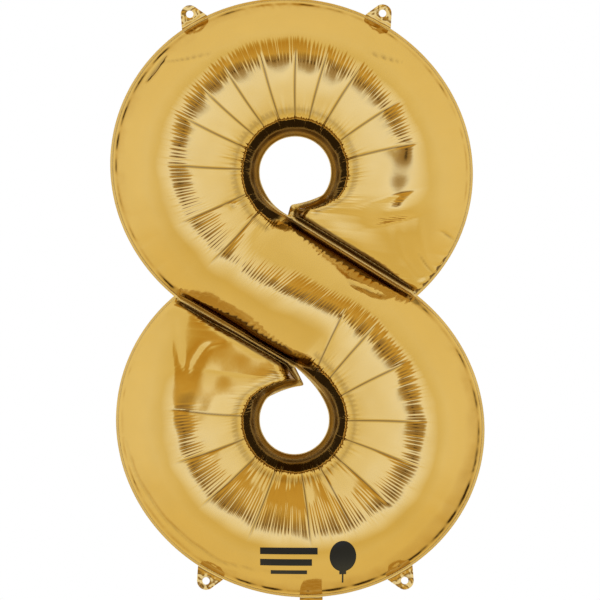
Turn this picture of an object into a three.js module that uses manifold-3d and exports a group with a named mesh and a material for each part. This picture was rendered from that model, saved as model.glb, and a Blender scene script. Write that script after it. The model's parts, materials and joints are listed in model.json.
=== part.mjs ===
// Foil number balloon, figure 8, inflated. Millimetres, +Z up, the front faces -Y.
// Two films are welded flat along the plane y = 0. Round both loops and down the diagonal they
// enclose one S-shaped air tube, which starts at the right notch and ends at the left notch.
// Origin: on the line through the two upper eyelets, at the body's mid-width.
import * as THREE from 'three';
import { mergeVertices } from 'three/addons/utils/BufferGeometryUtils.js';
import Module from 'manifold-3d';

const FILM = 0.6; // thickness of each film, thicker than the real one
const SEAL = 0.6; // thickness of the fused layer between the films, centred on y = 0
const SEAL_BAND = 4; // width of the weld along the outer edge
const RIM_BAND = 8.5; // width of the weld round each hole of the 8
const BRANCH_BAND = 7; // width of the welds that part the loops from the diagonal
const NECK_GAP = 0.35; // clearance between weld bands that meet
const TUBE_DEPTH = 84; // how far the widest tube would stand out from the plane
const TUBE_FULL_WIDTH = 110; // tube width at which it is well on the way to that depth
const RIBS = 66; // cross-sections along the tube
const RIB_STEPS = 8; // facets across the tube
const MIN_RIB = 9; // width at which the tube's pointed ends are closed

// Each loop: its outer ellipse, and the round hole with its slit towards the branch.
// Hole points are given as seen in the upper loop; the lower loop is the same turned half round.
const UPPER = {
  centre: [-7.3, -222.1], radii: [262.6, 245.9], tilt: -13.1, turn: 1,
  hole: [-2, -226.8], holeRadius: 51.5, cusp: [-10.7, -61.8], beak: [-6.5, -46.5],
};
const LOWER = {
  centre: [5.3, -591.5], radii: [266.8, 247.7], tilt: -12.2, turn: -1,
  hole: [-3.2, -583.3], holeRadius: 50, cusp: [-1, -76], beak: [-14.5, -49],
};
const HOLE_START = -40; // degrees: the hole is a true arc from here
const HOLE_END = 200; // to here
const HOLE_BEND = 32; // then it bends away over this length towards its slit

const TAB_ROOT = 41; // length of each hanging tab's root
const TAB_REACH = 11.5; // from the root to the eyelet's centre
const TAB_END = 13; // radius of the tab's round end
const EYELET = 5.3; // radius of the eyelets
const HINGE_GAP = 1.6; // cut along each fold, so that the stiff pieces can turn
const TAB_ANGLES = {
  upper_left: [UPPER, 123.5],
  upper_right: [UPPER, 59.6],
  lower_left: [LOWER, 238.7],
  lower_right: [LOWER, 304.1],
};

const TAIL_X = 21; // the tail's centre line
const TAIL_WIDTH = 33;
const TAIL_LENGTH = 64;
const TAIL_SEAL = 5; // width of the welds along the tail's sides
const VALVE_WIDTH = 21;
const VALVE_FILM = 0.25;
const VALVE_INSIDE = 96; // length of the valve sleeve inside the tube

const GOLD = new THREE.Color(0xd8a73a);
const PALE_GOLD = new THREE.Color(0xe6c878);
const CLEAR_FILM = new THREE.Color(0xdcdcd2);

const wasm = await Module();
wasm.setup();
const balloon = new THREE.Group();

const degrees = THREE.MathUtils.degToRad;
const flat = (x, z) => new THREE.Vector2(x, z);

// --- outlines in the weld plane ---

// A point of a loop's outer ellipse, shrunk by inset, at a parameter angle in radians.
function ellipsePoint(loop, angle, inset) {
  const point = flat((loop.radii[0] - inset) * Math.cos(angle), (loop.radii[1] - inset) * Math.sin(angle));
  return point.rotateAround(flat(0, 0), degrees(loop.tilt)).add(flat(...loop.centre));
}

// Below 0 inside the ellipse and above 0 outside it.
function ellipseSide(loop, point, inset) {
  const local = point.clone().sub(flat(...loop.centre)).rotateAround(flat(0, 0), -degrees(loop.tilt));
  return Math.hypot(local.x / (loop.radii[0] - inset), local.y / (loop.radii[1] - inset)) - 1;
}

// The parameter angle between two others where a loop's ellipse crosses the other loop's.
function crossing(loop, other, inside, outside, inset) {
  for (let step = 0; step < 40; step += 1) {
    const middle = (inside + outside) / 2;
    if (ellipseSide(other, ellipsePoint(loop, middle, inset), inset) < 0) inside = middle;
    else outside = middle;
  }
  return inside;
}

// The part of a loop's outer edge that is free of the other loop, anticlockwise, inset from the edge.
function freeEdge(loop, inset, count) {
  const other = loop === UPPER ? LOWER : UPPER;
  const down = degrees(loop === UPPER ? 270 : 90);
  const start = crossing(loop, other, down, down + Math.PI, inset) - 2 * Math.PI * (loop === UPPER);
  const end = crossing(loop, other, down, down - Math.PI, inset) + 2 * Math.PI * (loop === LOWER);
  const steps = Array.from({ length: count + 1 }, (_, i) => start + ((end - start) * i) / count);
  return steps.map((angle) => ellipsePoint(loop, angle, inset));
}

// A point given in a loop's own frame, round its hole, placed on the balloon.
function place(loop, x, z) {
  return flat(loop.hole[0] + loop.turn * x, loop.hole[1] + loop.turn * z);
}

const polar = (radius, angle) => [radius * Math.cos(degrees(angle)), radius * Math.sin(degrees(angle))];

// The edge of a loop's hole, widened by grow, anticlockwise from the beak to the slit's end.
function holeEdge(loop, grow, beak, cusp) {
  const radius = loop.holeRadius + grow;
  const path = new THREE.Path();
  const arcStart = polar(radius, HOLE_START);
  path.moveTo(...beak);
  path.quadraticCurveTo(beak[0] + 0.45 * (arcStart[0] - beak[0]), beak[1] + 1.5, ...arcStart);
  path.absarc(0, 0, radius, degrees(HOLE_START), degrees(HOLE_END), false);
  const bend = new THREE.Vector2(...polar(radius, HOLE_END)).add(flat(...polar(HOLE_BEND, HOLE_END + 90)));
  path.quadraticCurveTo(bend.x, bend.y, ...cusp);
  return path.getPoints(14).map((point) => place(loop, point.x, point.y));
}

const notches = { right: freeEdge(UPPER, 0, 1)[0], left: freeEdge(UPPER, 0, 1)[1] };

// The branch weld of a loop runs from the end of its slit to its notch.
function branch(loop) {
  const start = place(loop, ...loop.cusp);
  const end = loop === UPPER ? notches.right : notches.left;
  const along = end.clone().sub(start).normalize();
  const towardsBeak = flat(-along.y, along.x);
  return { start, end, along, towardsBeak, length: start.distanceTo(end) };
}

// A point beside a branch weld's centre line.
function besideBranch(weld, distance, side) {
  return weld.start.clone().addScaledVector(weld.along, distance).addScaledVector(weld.towardsBeak, side);
}

// The seam on a loop's inner side: up the branch weld, round the hole, back down the weld.
function innerSeam(loop) {
  const weld = branch(loop);
  const half = BRANCH_BAND / 2;
  const beak = [loop.beak[0] + 1.3 * RIM_BAND, loop.beak[1] - RIM_BAND];
  const cusp = place(loop, 0, 0).sub(besideBranch(weld, 0, -half)).multiplyScalar(-loop.turn);
  const round = holeEdge(loop, RIM_BAND, beak, [cusp.x, cusp.y]);
  const tip = besideBranch(weld, 1.6 * RIM_BAND, half);
  const start = besideBranch(weld, weld.length - RIM_BAND, half);
  const end = besideBranch(weld, weld.length - RIM_BAND, -half);
  return [start, ...split(start, tip, 8), tip, ...round, ...split(round.at(-1), end, 8), end];
}

function split(a, b, parts) {
  return Array.from({ length: parts - 1 }, (_, i) => a.clone().lerp(b, (i + 1) / parts));
}

// --- the S-shaped tube ---

// A path with the length along it of each of its points.
function measured(points) {
  const lengths = [0];
  for (let i = 1; i < points.length; i += 1) lengths.push(lengths[i - 1] + points[i].distanceTo(points[i - 1]));
  const at = (length) => {
    const next = Math.max(1, lengths.findIndex((value) => value >= Math.min(length, lengths.at(-1))));
    return points[next - 1].clone().lerp(points[next], (length - lengths[next - 1]) / (lengths[next] - lengths[next - 1]));
  };
  const nearest = (point, from, to) => {
    let best = from;
    for (let i = from; i <= to; i += 1) if (points[i].distanceTo(point) < points[best].distanceTo(point)) best = i;
    return lengths[best];
  };
  return { points, lengths, at, nearest };
}

// Pairs of seam points that face each other across a loop: [direction from the hole, direction to the edge].
const FACING = [[-88, -20], [-60, -13.5], [-30, -5], [0, 8], [30, 33], [60, 60], [90, 90], [120, 120],
  [150, 150], [180, 180], [205, 205]];
// The same in the pointed end: [length up the branch weld, length up the outer edge].
const WEDGE = [[50, 36], [105, 62], [160, 82]];

// Ribs from one seam to the other, from the pointed end at a loop's notch to the middle of the diagonal.
function halfRibs(loop) {
  const other = loop === UPPER ? LOWER : UPPER;
  const outer = freeEdge(loop, SEAL_BAND, 90);
  if (loop === LOWER) outer.push(outer.shift());
  const inner = measured(innerSeam(loop));
  const far = innerSeam(other).reverse();
  const edge = measured([...outer.slice(0, 90), ...far]);
  const ray = (angle, reach) => place(loop, ...polar(reach, angle));
  const pairs = [flat(0, 0)];
  for (const [along, up] of WEDGE) pairs.push(flat(along, up));
  for (const [from, to] of FACING) {
    pairs.push(flat(inner.nearest(ray(from, loop.holeRadius + RIM_BAND), 10, inner.points.length - 9),
      edge.nearest(ray(to, 250), 0, 89)));
  }
  const notch = edge.lengths[90];
  const cusp = inner.lengths.at(-9);
  const middle = (weld) => weld.length / 2 - RIM_BAND / 2;
  pairs.push(flat(inner.nearest(ray(228, loop.holeRadius + RIM_BAND), 10, inner.points.length - 9), notch));
  pairs.push(flat(cusp, notch + 0.3 * branch(other).length));
  pairs.push(flat(cusp + middle(branch(loop)), notch + middle(branch(other))));
  const spline = new THREE.SplineCurve(pairs);
  return spline.getSpacedPoints(RIBS / 2).map((pair) => [inner.at(pair.x), edge.at(pair.y)]);
}

// All ribs, each from the seam on the left of the stroke to the seam on its right.
function allRibs() {
  const first = halfRibs(UPPER);
  const second = halfRibs(LOWER).map(([inner, outer]) => [outer, inner]).reverse();
  return [...first, ...second.slice(1)].filter(([left, right]) => left.distanceTo(right) > MIN_RIB);
}

// Height of the film over the weld plane, from 0 to 1. A seam round a hole or along a branch is
// steep, and the outer seam is gentle; the crest lies nearer to the outer seam.
function crown(share, steepLeft, steepRight) {
  const crest = 0.5 + 0.07 * (steepLeft - steepRight);
  const left = share < crest;
  const away = left ? (crest - share) / crest : (share - crest) / (1 - crest);
  const steep = left ? steepLeft : steepRight;
  return (1 - away ** (1.75 + 0.65 * steep)) ** (0.95 - 0.5 * steep);
}

function steepness(index, count) {
  const place01 = index / (count - 1);
  const blend = THREE.MathUtils.smoothstep(place01, 0.4, 0.46);
  const blendLeft = 1 - THREE.MathUtils.smoothstep(place01, 0.54, 0.6);
  return [blendLeft, blend];
}

// Cross-section points from the left seam to the right one, for the film's outer or inner face.
function ribSection([left, right], index, count, isInner) {
  const width = left.distanceTo(right);
  const depth = TUBE_DEPTH * (1 - Math.exp(-((width / TUBE_FULL_WIDTH) ** 1.5)));
  const [steepLeft, steepRight] = steepness(index, count);
  const inset = isInner ? (1.8 * FILM) / width : 0;
  const base = SEAL / 2 + (isInner ? 0 : FILM);
  return Array.from({ length: RIB_STEPS + 1 }, (_, step) => {
    const share = (1 - Math.cos((Math.PI * step) / RIB_STEPS)) / 2;
    const point = left.clone().lerp(right, inset + (1 - 2 * inset) * share);
    const rise = depth * crown(share, steepLeft, steepRight) * (step > 0 && step < RIB_STEPS);
    return new THREE.Vector3(point.x, -(base + rise), point.y);
  });
}

// A closed shell from two grids of points that share their edges' layout.
function shellGeometry(outside, inside) {
  const rows = outside.length;
  const columns = outside[0].length;
  const position = [...outside.flat(), ...inside.flat()].flatMap((point) => point.toArray());
  const id = (layer, row, column) => layer * rows * columns + row * columns + column;
  const index = [];
  const quad = (a, b, c, d) => index.push(a, c, b, a, d, c);
  for (let row = 0; row < rows - 1; row += 1) {
    for (let column = 0; column < columns - 1; column += 1) {
      quad(id(0, row, column), id(0, row + 1, column), id(0, row + 1, column + 1), id(0, row, column + 1));
      quad(id(1, row, column), id(1, row, column + 1), id(1, row + 1, column + 1), id(1, row + 1, column));
    }
    quad(id(0, row, 0), id(1, row, 0), id(1, row + 1, 0), id(0, row + 1, 0));
    const last = columns - 1;
    quad(id(0, row, last), id(0, row + 1, last), id(1, row + 1, last), id(1, row, last));
  }
  for (let column = 0; column < columns - 1; column += 1) {
    quad(id(0, 0, column), id(0, 0, column + 1), id(1, 0, column + 1), id(1, 0, column));
    const last = rows - 1;
    quad(id(0, last, column), id(1, last, column), id(1, last, column + 1), id(0, last, column + 1));
  }
  const geometry = new THREE.BufferGeometry();
  geometry.setAttribute('position', new THREE.Float32BufferAttribute(position, 3));
  geometry.setIndex(index);
  return geometry;
}

// --- flat layers ---

// A flat layer between two depths, cut to an outline in the weld plane and its holes.
function layer(outline, holes, yFront, yBack) {
  const shape = new THREE.Shape(outline);
  shape.holes = holes.map((points) => new THREE.Path(points));
  const geometry = new THREE.ExtrudeGeometry(shape, { depth: yBack - yFront, bevelEnabled: false });
  return geometry.rotateX(Math.PI / 2).translate(0, yBack, 0);
}

function toSolid(geometry) {
  const bare = new THREE.BufferGeometry();
  bare.setAttribute('position', geometry.getAttribute('position'));
  if (geometry.index) bare.setIndex(geometry.index);
  const merged = mergeVertices(bare, 1e-4);
  return new wasm.Manifold(new wasm.Mesh({
    numProp: 3,
    vertProperties: merged.getAttribute('position').array,
    triVerts: new Uint32Array(merged.index.array),
  }));
}

function toGeometry(solid) {
  const mesh = solid.getMesh();
  const geometry = new THREE.BufferGeometry();
  geometry.setAttribute('position', new THREE.BufferAttribute(mesh.vertProperties, 3));
  geometry.setIndex(new THREE.BufferAttribute(mesh.triVerts, 1));
  return geometry;
}

function add(name, geometry, color, roughness, metalness) {
  const material = new THREE.MeshStandardMaterial({ color, roughness, metalness });
  const mesh = new THREE.Mesh(geometry, material);
  mesh.name = name;
  balloon.add(mesh);
}

const addFoil = (name, geometry) => add(name, geometry, GOLD, 0.22, 1);
const addSeal = (name, geometry) => add(name, geometry, PALE_GOLD, 0.35, 0.8);
const addValve = (name, geometry) => add(name, geometry, CLEAR_FILM, 0.4, 0);

// --- body ---

const ribs = allRibs();
const bodyOutline = (inset, count) => [
  ...freeEdge(UPPER, inset, count).slice(0, -1), ...freeEdge(LOWER, inset, count).slice(0, -1)];
const holeOutline = (loop, grow) => holeEdge(loop, grow, loop.beak, loop.cusp);

function panelGeometry() {
  const outside = ribs.map((rib, i) => ribSection(rib, i, ribs.length, false));
  const inside = ribs.map((rib, i) => ribSection(rib, i, ribs.length, true));
  const bladder = toSolid(shellGeometry(outside, inside));
  const inset = ([left, right]) => [0.9, -0.9].map((reach) => {
    const end = reach > 0 ? left : right;
    return end.clone().addScaledVector(right.clone().sub(left).normalize(), reach);
  });
  const feet = ribs.map(inset);
  const opening = [...feet.map((pair) => pair[0]), ...feet.map((pair) => pair[1]).reverse()];
  const holes = [holeOutline(UPPER, 0), holeOutline(LOWER, 0), opening];
  const flange = toSolid(layer(bodyOutline(0, 40), holes, -SEAL / 2 - FILM, -SEAL / 2));
  return toGeometry(bladder.add(flange));
}

// The same shape on the other side of the weld plane.
function mirrored(geometry) {
  const copy = geometry.clone().scale(1, -1, 1);
  const index = copy.index.array;
  for (let i = 0; i < index.length; i += 3) [index[i], index[i + 1]] = [index[i + 1], index[i]];
  return copy;
}

const panel = panelGeometry();
addFoil('front_panel', panel);
addFoil('back_panel', mirrored(panel));

// --- fused layers between the films ---

const sealLayer = (outline, holes) => layer(outline, holes, -SEAL / 2, SEAL / 2);

// The height of the body's outer edge at x, on the underside of the lower loop.
function bottomEdge(x) {
  const points = freeEdge(LOWER, 0, 400).filter((point) => point.y < LOWER.centre[1]);
  return points.reduce((best, point) => (Math.abs(point.x - x) < Math.abs(best.x - x) ? point : best)).y;
}

const tailLeft = TAIL_X - TAIL_WIDTH / 2;
const tailRight = TAIL_X + TAIL_WIDTH / 2;
const foldZ = Math.min(bottomEdge(tailLeft), bottomEdge(TAIL_X), bottomEdge(tailRight)) - 0.2;
const tailTop = foldZ - HINGE_GAP + 0.2;

function perimeterSeal() {
  const ring = toSolid(sealLayer(bodyOutline(0, 40), [bodyOutline(SEAL_BAND, 40)]));
  const neck = new THREE.BoxGeometry(VALVE_WIDTH + 2 * NECK_GAP, 10, 6 * SEAL_BAND);
  return toGeometry(ring.subtract(toSolid(neck.translate(TAIL_X, 0, foldZ))));
}

const RIM_END = 7; // the rim's weld goes on this far past the slit's end, and the branch weld follows

function rimSeal(loop) {
  const weld = branch(loop);
  const half = BRANCH_BAND / 2;
  const round = innerSeam(loop).slice(9, -8);
  const outline = [...round, besideBranch(weld, RIM_END, -half), besideBranch(weld, RIM_END, half)];
  return sealLayer(outline, [holeOutline(loop, 0)]);
}

function branchSeal(loop) {
  const weld = branch(loop);
  const ends = [RIM_END + NECK_GAP, weld.length - RIM_BAND];
  const half = BRANCH_BAND / 2;
  return sealLayer([
    besideBranch(weld, ends[0], half), besideBranch(weld, ends[0], -half),
    besideBranch(weld, ends[1], -half), besideBranch(weld, ends[1], half),
  ], []);
}

addSeal('perimeter_seal', perimeterSeal());
addSeal('upper_rim_seal', rimSeal(UPPER));
addSeal('lower_rim_seal', rimSeal(LOWER));
addSeal('upper_branch_seal', branchSeal(UPPER));
addSeal('lower_branch_seal', branchSeal(LOWER));

// --- filling valve and tail ---

const rectangle = (left, right, bottom, top) => [
  flat(left, bottom), flat(right, bottom), flat(right, top), flat(left, top)];

// The valve is a flat sleeve of two films, sealed along its sides, that lies in the neck.
function addValveFilms(prefix, bottom, top) {
  const outline = rectangle(TAIL_X - VALVE_WIDTH / 2, TAIL_X + VALVE_WIDTH / 2, bottom, top);
  addValve(`${prefix}valve_front_film`, layer(outline, [], -SEAL / 2, -SEAL / 2 + VALVE_FILM));
  addValve(`${prefix}valve_back_film`, layer(outline, [], SEAL / 2 - VALVE_FILM, SEAL / 2));
}

addValveFilms('', foldZ + 0.2, foldZ + VALVE_INSIDE);
addValveFilms('tail_', tailTop - 0.7 * TAIL_LENGTH, tailTop);

const tailOutline = rectangle(tailLeft, tailRight, tailTop - TAIL_LENGTH, tailTop);
addFoil('tail_front_film', layer(tailOutline, [], -SEAL / 2 - FILM, -SEAL / 2));
addFoil('tail_back_film', layer(tailOutline, [], SEAL / 2, SEAL / 2 + FILM));
for (const [side, left] of [['left', tailLeft], ['right', tailRight - TAIL_SEAL]]) {
  addSeal(`tail_${side}_seal`, sealLayer(rectangle(left, left + TAIL_SEAL, tailTop - TAIL_LENGTH, tailTop), []));
}

// --- hanging tabs ---

// The point of a loop's outer edge in a direction from its centre, with the way out and the way along.
function edgeFrame(loop, angle) {
  const ray = flat(...polar(1, angle));
  const reach = 1 / (ellipseSide(loop, ray.clone().add(flat(...loop.centre)), 0) + 1);
  const foot = ray.clone().multiplyScalar(reach).add(flat(...loop.centre));
  const beside = flat(...polar(1, angle + 0.05)).multiplyScalar(reach).add(flat(...loop.centre));
  const stretch = 1 / (ellipseSide(loop, beside, 0) + 1);
  const next = beside.sub(flat(...loop.centre)).multiplyScalar(stretch).add(flat(...loop.centre));
  const along = next.sub(foot).normalize();
  return { foot, along, out: flat(along.y, -along.x) };
}

// A point beside a tab's root: along it, and out from the body.
function onTab(frame, along, out) {
  return frame.foot.clone().addScaledVector(frame.along, along).addScaledVector(frame.out, out);
}

// The tab narrows from its root to a round end about its eyelet.
function tabOutline(frame) {
  const toCorner = Math.hypot(TAB_ROOT / 2, TAB_REACH);
  const lift = Math.acos(TAB_END / toCorner) - Math.atan2(TAB_REACH, TAB_ROOT / 2);
  const shape = new THREE.Shape();
  shape.moveTo(-TAB_ROOT / 2, HINGE_GAP);
  shape.lineTo(TAB_ROOT / 2, HINGE_GAP);
  shape.absarc(0, HINGE_GAP + TAB_REACH, TAB_END, lift, Math.PI - lift, false);
  return shape.getPoints(10).map((point) => onTab(frame, -point.x, point.y));
}

function eyeletOutline(frame) {
  const circle = new THREE.Path().absarc(0, HINGE_GAP + TAB_REACH, EYELET, 0, 2 * Math.PI, false);
  return circle.getPoints(20).slice(1).map((point) => onTab(frame, -point.x, point.y));
}

for (const [corner, [loop, angle]] of Object.entries(TAB_ANGLES)) {
  const frame = edgeFrame(loop, angle);
  const outline = tabOutline(frame);
  const eyelet = eyeletOutline(frame);
  addFoil(`${corner}_tab_front_film`, layer(outline, [eyelet], -SEAL / 2 - FILM, 0));
  addFoil(`${corner}_tab_back_film`, layer(outline, [eyelet], 0, SEAL / 2 + FILM));
}

export default balloon;
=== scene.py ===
"""Looks of the foil number balloon: an 8 of two gold films, welded flat round the edge, round the
holes and along two branch lines, with pleats and creases where the flat film is forced into a tube.
The frame is the part's own: X right, Z up, the front faces -Y. Lengths are in millimetres, as (x, z)
in the weld plane and y out of it, and mesh_object turns them into metres."""

import json
import math
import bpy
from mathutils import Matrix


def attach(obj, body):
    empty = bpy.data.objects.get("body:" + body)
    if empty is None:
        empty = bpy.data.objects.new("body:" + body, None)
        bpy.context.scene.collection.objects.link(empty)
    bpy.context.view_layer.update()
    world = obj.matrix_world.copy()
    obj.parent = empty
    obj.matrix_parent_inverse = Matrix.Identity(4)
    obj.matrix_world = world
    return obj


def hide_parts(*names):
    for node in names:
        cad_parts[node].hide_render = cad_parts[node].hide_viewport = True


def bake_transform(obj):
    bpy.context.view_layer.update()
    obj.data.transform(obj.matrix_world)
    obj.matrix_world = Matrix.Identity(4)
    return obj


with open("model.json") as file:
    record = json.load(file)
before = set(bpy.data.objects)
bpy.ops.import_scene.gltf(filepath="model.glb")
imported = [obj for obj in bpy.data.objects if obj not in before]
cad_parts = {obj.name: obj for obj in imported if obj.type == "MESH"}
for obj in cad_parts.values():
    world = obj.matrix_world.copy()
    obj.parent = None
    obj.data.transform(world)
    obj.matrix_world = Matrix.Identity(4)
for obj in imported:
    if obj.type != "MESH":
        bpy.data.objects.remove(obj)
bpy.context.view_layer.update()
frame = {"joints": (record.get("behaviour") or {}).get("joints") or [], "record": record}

from types import SimpleNamespace

import bmesh
import bpy
import numpy as np
from mathutils import Vector, geometry

MM = 0.001

# --- driving dimensions, the same as the part's own ---

UPPER = SimpleNamespace(
    centre=(-7.3, -222.1), radii=(262.6, 245.9), tilt=-13.1, turn=1,
    hole=(-2.0, -226.8), hole_radius=51.5, cusp=(-10.7, -61.8), beak=(-6.5, -46.5),
)
LOWER = SimpleNamespace(
    centre=(5.3, -591.5), radii=(266.8, 247.7), tilt=-12.2, turn=-1,
    hole=(-3.2, -583.3), hole_radius=50.0, cusp=(-1.0, -76.0), beak=(-14.5, -49.0),
)
LOOPS = (UPPER, LOWER)

HOLE_START, HOLE_END, HOLE_BEND = -40, 200, 32  # round part of a hole's edge, in degrees, and the bend after it
SEAL_BAND = 4.0  # width of the weld along the outer edge
RIM_BAND = 6.5  # and of the weld round a hole
BRANCH_BAND = 7.0  # and of a branch weld
TIP_BACK = 8.5  # how far before its notch a branch weld's seams end
MARGIN_THICKNESS = 0.5
RIM_CUP = -4.6  # how far a hole's edge stands off the weld plane, towards the front
RIM_WAVE = 0.5
WELD_ROLL = 0.22  # slope of the branch welds about their length
WELD_LEAN = 1.0  # how far the films lean over a branch weld
EDGE_ROLL = 0.35  # slope of the outer margin
MIN_RIB = 9.0  # the shortest rib, at both ends of the tube
TUBE_DEPTH = 78.0
FULL_HALF_WIDTH = 96.0  # half width of the tube where it is fully deep

PLEAT = 4.5  # pitch of the fine pleats along the crest
PLEAT_COLUMNS = 4
ROWS = 59
EDGE_POINTS = 1200  # points along each outer seam
SEAM_STEP, SEAM_ROUND = 0.5, 2.0
CROWDING, CROWDED = 2.2, 0.08  # how much closer the rows are at the seams, and over what share

FRONT, BACK = -1, 1
SIDES = ((FRONT, "front"), (BACK, "back"))


# --- outlines in the weld plane ---

def turned(points, angle):
    """Points turned about the origin by an angle in degrees."""
    c, s = math.cos(math.radians(angle)), math.sin(math.radians(angle))
    return np.asarray(points) @ np.array([[c, s], [-s, c]])


def polar(radius, angle):
    """Points at distances and directions, in degrees, from the origin."""
    angle = np.radians(angle)
    return np.stack([radius * np.cos(angle), radius * np.sin(angle)], axis=-1)


def ellipse(loop, angles, inset):
    """Points of a loop's outer ellipse, shrunk by inset, at parameter angles in radians."""
    x = (loop.radii[0] - inset) * np.cos(angles)
    z = (loop.radii[1] - inset) * np.sin(angles)
    return turned(np.stack([x, z], axis=-1), loop.tilt) + loop.centre


def ellipse_side(loop, point, inset=0.0):
    """Below 0 inside a loop's ellipse and above 0 outside it."""
    local = turned(np.asarray(point) - loop.centre, -loop.tilt)
    return np.hypot(local[..., 0] / (loop.radii[0] - inset), local[..., 1] / (loop.radii[1] - inset)) - 1


def crossing(loop, other, within, beyond, inset):
    """The parameter angle at which a loop's ellipse crosses the other loop's."""
    for _ in range(40):
        middle = (within + beyond) / 2
        if ellipse_side(other, ellipse(loop, np.array(middle), inset), inset) < 0:
            within = middle
        else:
            beyond = middle
    return within


def other_loop(loop):
    return LOWER if loop is UPPER else UPPER


def free_edge(loop, inset, count):
    """The part of a loop's outer edge that is free of the other loop, anticlockwise."""
    other = other_loop(loop)
    down = math.radians(270 if loop is UPPER else 90)
    start = crossing(loop, other, down, down + math.pi, inset) - (2 * math.pi if loop is UPPER else 0)
    end = crossing(loop, other, down, down - math.pi, inset) + (2 * math.pi if loop is LOWER else 0)
    return ellipse(loop, np.linspace(start, end, count), inset)


def place(loop, points):
    """Points given in a loop's own frame, round its hole, placed on the balloon."""
    return np.asarray(loop.hole) + loop.turn * np.asarray(points)


def bend(a, b, c, count=60):
    """A quadratic curve from a to c that leaves towards b."""
    t = np.linspace(0, 1, count)[:, None]
    return (1 - t) ** 2 * np.asarray(a) + 2 * t * (1 - t) * np.asarray(b) + t ** 2 * np.asarray(c)


def hole_edge(loop, grow, beak, cusp):
    """The edge of a loop's hole, widened by grow, anticlockwise from the beak to the slit's end."""
    radius = loop.hole_radius + grow
    arc = polar(radius, np.linspace(HOLE_START, HOLE_END, 400))
    knee = (beak[0] + 0.45 * (arc[0][0] - beak[0]), beak[1] + 1.5)
    turn = arc[-1] + polar(HOLE_BEND, HOLE_END + 90)
    points = np.concatenate([bend(beak, knee, arc[0]), arc[1:], bend(arc[-1], turn, cusp)[1:]])
    return place(loop, points)


NOTCHES = free_edge(UPPER, 0, 2)


def branch(loop):
    """The branch weld of a loop, from the end of its slit to its notch."""
    start = place(loop, loop.cusp)
    end = NOTCHES[0] if loop is UPPER else NOTCHES[1]
    length = float(np.linalg.norm(end - start))
    along = (end - start) / length
    beakward = np.array([-along[1], along[0]])
    return SimpleNamespace(start=start, end=end, along=along, beakward=beakward, length=length)


def beside_branch(weld, distance, side):
    return weld.start + weld.along * distance + weld.beakward * side


def by_weld(plane, loop):
    """A loop's branch weld, and how far along it and beside it points are."""
    weld = branch(loop)
    offset = plane - weld.start
    return weld, offset @ weld.along, offset @ weld.beakward


def round_hole(plane, loop):
    """How far points are from the middle of a loop's hole, and in which direction, in degrees."""
    away = plane - loop.hole
    return np.hypot(away[..., 0], away[..., 1]), np.degrees(np.arctan2(away[..., 1], away[..., 0]))


def inner_seam(loop):
    """The seam on a loop's inner side: up the branch weld, round the hole, back down the weld."""
    weld = branch(loop)
    half = BRANCH_BAND / 2
    beak = (loop.beak[0] + 1.3 * RIM_BAND, loop.beak[1] - RIM_BAND)
    cusp = (beside_branch(weld, 0, -half) - loop.hole) * loop.turn
    ring = hole_edge(loop, RIM_BAND, beak, cusp)
    up = [beside_branch(weld, weld.length - TIP_BACK, half), beside_branch(weld, 1.6 * RIM_BAND, half)]
    down = [beside_branch(weld, weld.length - TIP_BACK, -half)]
    return np.concatenate([up, ring, down])


def running(steps):
    """Where steps lead to, from 0."""
    return np.concatenate([[0.0], np.cumsum(steps)])


def lengths_along(points):
    """The length along a path at each of its points."""
    return running(np.linalg.norm(np.diff(points, axis=0), axis=1))


def smoothed(values, sigma):
    """Values along the first axis, blurred over sigma samples, with both ends kept."""
    if sigma <= 0:
        return values
    reach = min(int(4 * sigma), len(values) - 1)
    kernel = np.exp(-0.5 * (np.arange(-reach, reach + 1) / sigma) ** 2)
    kernel /= kernel.sum()
    flat = values.reshape(len(values), -1)
    first, last = flat[:1], flat[-1:]
    padded = np.concatenate([2 * first - flat[reach:0:-1], flat, 2 * last - flat[-2:-reach - 2:-1]])
    out = np.stack([np.convolve(padded[:, k], kernel, mode="valid") for k in range(flat.shape[1])], axis=1)
    return out.reshape(values.shape)


def picked(at, lengths, points):
    """The points of a path at given lengths along it."""
    return np.stack([np.interp(at, lengths, points[:, k]) for k in (0, 1)], axis=-1)


def resampled(points, step, round_off=0.0):
    """A path with points evenly step apart, its corners rounded over round_off."""
    lengths = lengths_along(points)
    at = np.linspace(0, lengths[-1], int(lengths[-1] / step) + 1)
    return smoothed(picked(at, lengths, points), round_off / step)


def nearest_length(points, lengths, target):
    return float(lengths[np.argmin(np.linalg.norm(points - target, axis=1))])


# --- the S-shaped tube: ribs from the seam on the left of the stroke to the seam on its right ---

# Directions from a hole's centre, in degrees: from the seam round the hole to the outer seam.
FACING = [(-88, -20), (-60, -13.5), (-30, -5), (0, 8), (30, 33), (60, 60), (90, 90), (120, 120),
          (150, 150), (180, 180), (205, 205)]
RAY = (120, 330, 2000)  # where the outer seam is looked for: nearest, farthest and number of points
LAST_FACING = 228  # the direction that faces the notch, where the outer seam ends
WEDGE = [(50, 36), (105, 62), (160, 82)]  # lengths up the branch weld and up the outer edge


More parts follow.
